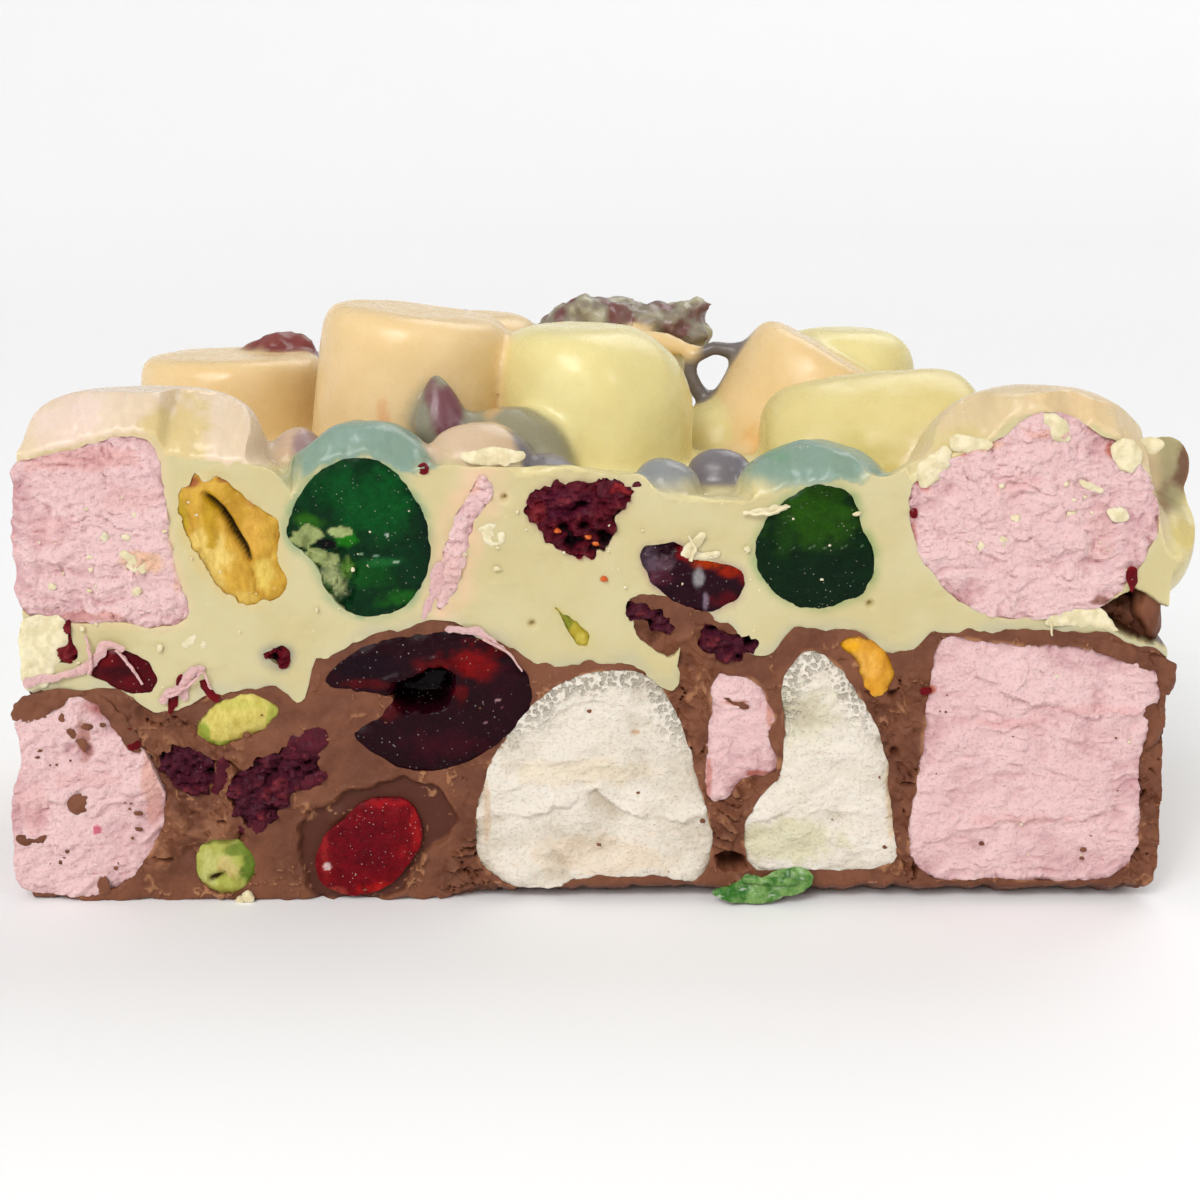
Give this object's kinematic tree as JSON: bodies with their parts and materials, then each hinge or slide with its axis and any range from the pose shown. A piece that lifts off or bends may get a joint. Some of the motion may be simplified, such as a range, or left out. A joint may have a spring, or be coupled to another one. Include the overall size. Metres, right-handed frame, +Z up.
{
  "type": "chocolate bar slice",
  "caption": "Thick slice of layered milk and white chocolate with marshmallows, cherries, cranberries and pistachios, showing at its cut faces and coated on top.",
  "frame": {"origin": "middle of the footprint, at the flat base", "axes": "+X along the slice's length, to the right of the cut front; -Y is the cut front; +Z up"},
  "size_m": [0.1454, 0.0752, 0.0717],
  "materials": {
    "white_chocolate": "waxy white chocolate, cut dull and poured satin",
    "milk_chocolate": "milk chocolate, torn matt at the cut and satin where moulded",
    "pink_marshmallow": "dry torn marshmallow foam, matt",
    "white_marshmallow": "dry torn marshmallow foam, matt",
    "green_cherry": "wet translucent glace cherry, glossy",
    "dark_cherry": "wet translucent glace cherry, glossy",
    "red_cherry": "wet translucent glace cherry, glossy",
    "cranberry": "leathery dried cranberry, satin",
    "pistachio": "cut nut kernel, dry",
    "coating": "poured white chocolate over marshmallow, satin",
    "dark_coating": "thin white chocolate over dark fruit, satin"
  },
  "bodies": {
    "root": {"marshmallow_pink_upper_left": "pink_marshmallow", "marshmallow_pink_lower_left": "pink_marshmallow", "marshmallow_pink_upper_right": "pink_marshmallow", "marshmallow_pink_lower_right": "pink_marshmallow", "marshmallow_white_wide": "white_marshmallow", "marshmallow_white_narrow": "white_marshmallow", "marshmallow_pink_small": "pink_marshmallow", "marshmallow_pink_strip": "pink_marshmallow", "cherry_green_left": "green_cherry", "cherry_green_right": "green_cherry", "cherry_dark_hollow": "dark_cherry", "cherry_red_low": "red_cherry", "cherry_dark_half": "dark_cherry", "cherry_dark_left": "dark_cherry", "cranberry_sliver_left": "cranberry", "cranberry_upper": "cranberry", "cranberry_pair_a": "cranberry", "cranberry_pair_b": "cranberry", "cranberry_low_a": "cranberry", "cranberry_low_b": "cranberry", "cranberry_chip": "cranberry", "pistachio_upper": "pistachio", "pistachio_mid": "pistachio", "pistachio_low": "pistachio", "pistachio_sliver": "pistachio", "pistachio_right": "pistachio", "marshmallow_back_pink_right": "pink_marshmallow", "marshmallow_back_white_right": "white_marshmallow", "marshmallow_back_white_left": "white_marshmallow", "marshmallow_back_pink_left": "pink_marshmallow", "cherry_back_green": "green_cherry", "cherry_back_red": "red_cherry", "cherry_back_dark": "dark_cherry", "cranberry_back_right": "cranberry", "cranberry_back_left": "cranberry", "pistachio_back_right": "pistachio", "pistachio_back_left": "pistachio", "cherry_left_end": "green_cherry", "marshmallow_left_end": "pink_marshmallow", "pistachio_left_end": "pistachio", "coated_marshmallow_tall_middle": "coating", "coated_marshmallow_tall_left": "coating", "coated_marshmallow_back_left": "coating", "coated_marshmallow_right_lying": "coating", "coated_marshmallow_back_right": "coating", "coated_marshmallow_far_right": "coating", "coated_marshmallow_back_middle": "coating", "coated_marshmallow_back_centre": "coating", "coated_cranberry_cluster": "dark_coating", "coated_cranberry_left": "dark_coating", "coated_cranberry_pointed": "dark_coating", "coated_cranberry_right": "dark_coating", "coated_cranberry_edge": "dark_coating", "cherry_green_scrap": "green_cherry", "milk_chocolate_layer": "milk_chocolate", "white_chocolate_layer": "white_chocolate"}
  },
  "joints": []
}
